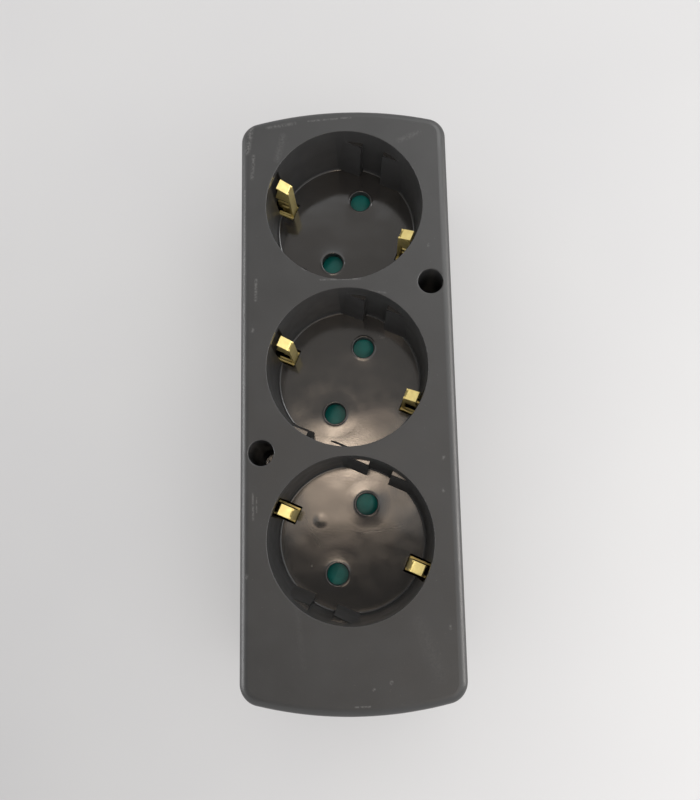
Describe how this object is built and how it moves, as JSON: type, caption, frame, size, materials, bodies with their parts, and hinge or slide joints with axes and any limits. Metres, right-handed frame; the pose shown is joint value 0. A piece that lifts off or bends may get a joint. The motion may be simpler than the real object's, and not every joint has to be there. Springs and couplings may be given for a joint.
{
  "type": "triple socket block",
  "caption": "Long dark block with earthed round socket recesses in a row, shuttered pin holes, brass earth clips and a cable inlet at one end.",
  "frame": {"origin": "middle of the underside, where the block rests", "axes": "+Z out of the socket face, +Y along the block from the cable end to the head"},
  "size_m": [0.0514, 0.1458, 0.043],
  "materials": {
    "housing": "dark grey moulded thermoplastic, fine matt face, glossier inside the recesses",
    "cover": "dark grey moulded thermoplastic, fine matt",
    "shutter": "blue-green moulded plastic, satin gloss",
    "contact": "bright rolled and stamped brass strip",
    "steel": "zinc plated",
    "clamp": "dark moulded plastic"
  },
  "bodies": {
    "block": {"front_housing": "housing", "rear_cover": "cover", "live_busbar": "contact", "neutral_busbar": "contact", "earth_rail": "contact", "earth_bracket_1": "contact", "earth_bracket_2": "contact", "earth_bracket_3": "contact", "earth_rivet_1": "contact", "earth_rivet_2": "contact", "earth_rivet_3": "contact", "shutter_spring_1": "steel", "shutter_spring_2": "steel", "shutter_spring_3": "steel", "shutter_keeper_1": "steel", "shutter_keeper_2": "steel", "shutter_keeper_3": "steel", "neutral_terminal_washer": "steel", "earth_terminal_washer": "steel", "live_terminal_washer": "steel", "neutral_terminal_screw": "steel", "earth_terminal_screw": "steel", "live_terminal_screw": "steel", "cable_clamp": "clamp", "cable_clamp_screw_1": "steel", "cable_clamp_screw_2": "steel", "housing_screw_1": "steel", "housing_screw_2": "steel"},
    "shutter_1": {"shutter_1": "shutter"},
    "shutter_2": {"shutter_2": "shutter"},
    "shutter_3": {"shutter_3": "shutter"}
  },
  "joints": [
    {"name": "shutter_1_turn", "type": "hinge", "parent": "block", "child": "shutter_1", "pos_m": [0, 0.04765, 0.0213], "axis": [0, 0, 1], "range_deg": [0, 40], "stiffness_Nm_per_rad": 0.001, "springref_deg": -28.65, "deforming": ["shutter_spring_1"]},
    {"name": "shutter_2_turn", "type": "hinge", "parent": "block", "child": "shutter_2", "pos_m": [0, 0.00685, 0.0213], "axis": [0, 0, 1], "range_deg": [0, 40], "stiffness_Nm_per_rad": 0.001, "springref_deg": -28.65, "deforming": ["shutter_spring_2"]},
    {"name": "shutter_3_turn", "type": "hinge", "parent": "block", "child": "shutter_3", "pos_m": [0, -0.03395, 0.0213], "axis": [0, 0, 1], "range_deg": [0, 40], "stiffness_Nm_per_rad": 0.001, "springref_deg": -28.65, "deforming": ["shutter_spring_3"]}
  ]
}
